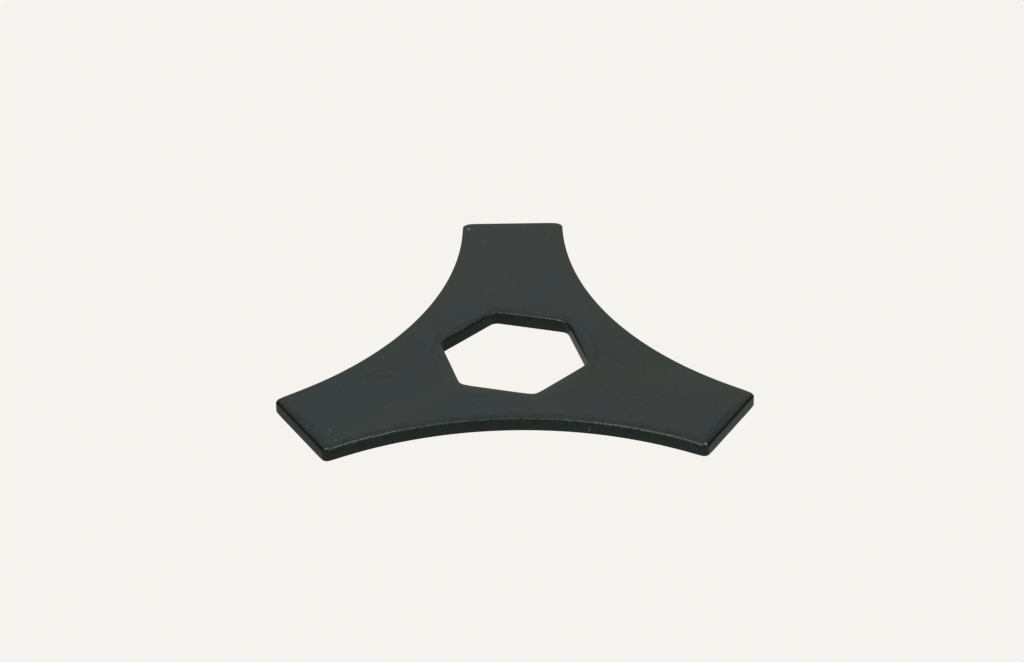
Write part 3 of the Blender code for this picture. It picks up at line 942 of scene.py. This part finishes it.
def glowing_floor():
    mesh = bpy.data.meshes.new("floor")
    corners = [(-1, -1), (1, -1), (1, 1), (-1, 1)]
    mesh.from_pydata([(x * FLOOR_HALF, y * FLOOR_HALF, 0) for x, y in corners], [], [(0, 1, 2, 3)])
    mesh.transform(Matrix.Translation((0, 0, -HALF_THICKNESS - FLOOR_GAP)))
    floor = bpy.data.objects.new("floor", mesh)
    bpy.context.scene.collection.objects.link(floor)
    material = bpy.data.materials.new("light_table")
    material.use_nodes = True
    tree = material.node_tree
    tree.nodes.remove(tree.nodes["Principled BSDF"])
    floor_here = add(tree, "ShaderNodeTexCoord").outputs["Object"]
    to_right = add(tree, SPLIT, (floor_here,)).outputs["X"]
    # Painted shade: the glow that reaches the plate is weaker towards the left, and weakest in the left
    # part of the hole.
    open_painted_shade = add(tree, RANGE, (to_right, -SHADE_HALF, SHADE_HALF, FLOOR_LEFT, FLOOR_RIGHT))
    hole_painted_shade = add(tree, RANGE, (to_right, HOLE_SHADE_START, HOLE_SHADE_END, HOLE_LEFT, HOLE_RIGHT))
    from_axis = add(tree, VECTOR, (floor_here,), operation="LENGTH").outputs["Value"]
    in_hole = add(tree, RANGE, (from_axis, HOLE_RADIUS, HOLE_RADIUS + MM, 1, 0))
    painted_shade_glow = add(tree, MIX, (in_hole, open_painted_shade, hole_painted_shade), data_type="FLOAT")
    to_camera = add(tree, "ShaderNodeLightPath").outputs["Is Camera Ray"]
    strength = add(tree, MIX, (to_camera, painted_shade_glow, 1.0), data_type="FLOAT")
    glow = add(tree, "ShaderNodeEmission", {"Color": linear(FLOOR_WHITE), "Strength": strength})
    tree.links.new(glow.outputs[0], tree.nodes["Material Output"].inputs["Surface"])
    mesh.materials.append(material)
    return floor


floor = glowing_floor()
print("floor at z = %.2f mm" % (floor.data.vertices[0].co.z / MM))

# %% The room that the coating mirrors
SCREEN_LIGHT = [(0, 1.0), (15, 1.15), (24, 1.28), (28, 1.2), (31.5, 1.19), (35, 1.37), (40, 1.39)]
SCREEN_LIGHT += [(50, 1.32), (58, 1.18), (68, 0.95), (80, 0.8), (90, 0.8)]
ROUND_LIGHT = [(0, 1.0), (5, 0.98), (12, 0.86), (20, 0.68), (30, 0.48), (42, 0.22), (55, 0.08)]
ROUND_LIGHT += [(80, 0.1), (100, 0.6), (125, 1.0), (150, 0.85), (180, 0.5)]
ROOM_WHITE = "#eefaf5"
ZENITH, BEHIND_CAMERA = 90, 180


def light_by_angle(tree, angle, stops, furthest):
    """Brightness that follows an angle, from stops of degrees and brightness."""
    scaled = add(tree, RANGE, (angle, 0, math.radians(furthest), 0, 1))
    ramp = add(tree, "ShaderNodeValToRGB", (scaled,))
    ramp.color_ramp.interpolation = "CARDINAL"
    brightest = max(light for _, light in stops)
    for number, (degrees, light) in enumerate(stops):
        elements = ramp.color_ramp.elements
        stop = elements[number] if number < 2 else elements.new(degrees / furthest)
        stop.position = degrees / furthest
        stop.color = (light / brightest,) * 3 + (1.0,)
    return add(tree, MATH, (ramp, brightest), operation="MULTIPLY")


def studio_room():
    world = bpy.data.worlds.new("studio_room")
    bpy.context.scene.world = world
    world.use_nodes = True
    tree = world.node_tree
    toward = add(tree, SPLIT, (add(tree, "ShaderNodeTexCoord").outputs["Generated"],))
    elevation = add(tree, MATH, (toward.outputs["Z"],), operation="ARCSINE")
    side = add(tree, MATH, (toward.outputs["X"],), operation="ABSOLUTE")
    azimuth = add(tree, MATH, (side, toward.outputs["Y"]), operation="ARCTAN2")
    upwards = light_by_angle(tree, elevation, SCREEN_LIGHT, ZENITH)
    sideways = light_by_angle(tree, azimuth, ROUND_LIGHT, BEHIND_CAMERA)
    light = add(tree, MATH, (upwards, sideways), operation="MULTIPLY")
    background = tree.nodes["Background"]
    background.inputs["Color"].default_value = linear(ROOM_WHITE)
    tree.links.new(light.outputs[0], background.inputs["Strength"])
    return world


room = studio_room()
print("room built from", len(room.node_tree.nodes), "nodes")

# %% Two lamps over the screen
LAMP_DISTANCE = 1.4
LAMP_ELEVATION, LAMP_AZIMUTH = math.radians(63), math.radians(26)
LAMP_WIDTH, LAMP_HEIGHT, LAMP_WATTS = 0.42, 0.3, 2.5


def screen_lamp(name, side):
    lamp = bpy.data.lights.new(name, "AREA")
    lamp.color = linear(ROOM_WHITE)[:3]
    lamp.shape, lamp.size, lamp.size_y, lamp.energy = "RECTANGLE", LAMP_WIDTH, LAMP_HEIGHT, LAMP_WATTS
    hung = bpy.data.objects.new(name, lamp)
    turn = Matrix.Rotation(math.pi - side * LAMP_AZIMUTH, 4, "Z")
    turn = turn @ Matrix.Rotation(math.pi / 2 - LAMP_ELEVATION, 4, "X")
    hung.matrix_world = turn @ Matrix.Translation((0, 0, LAMP_DISTANCE))
    bpy.context.scene.collection.objects.link(hung)
    return hung


for name, side in (("left_lamp", -1), ("right_lamp", 1)):
    lamp = screen_lamp(name, side)
    print(name, "at, in mm:", [round(place / MM) for place in lamp.matrix_world.translation])

# %% Picture tones
PICTURE_GAMMA = 0.76
bpy.context.scene.view_settings.view_transform = "Standard"
bpy.context.scene.view_settings.gamma = PICTURE_GAMMA
print("picture gamma", PICTURE_GAMMA)
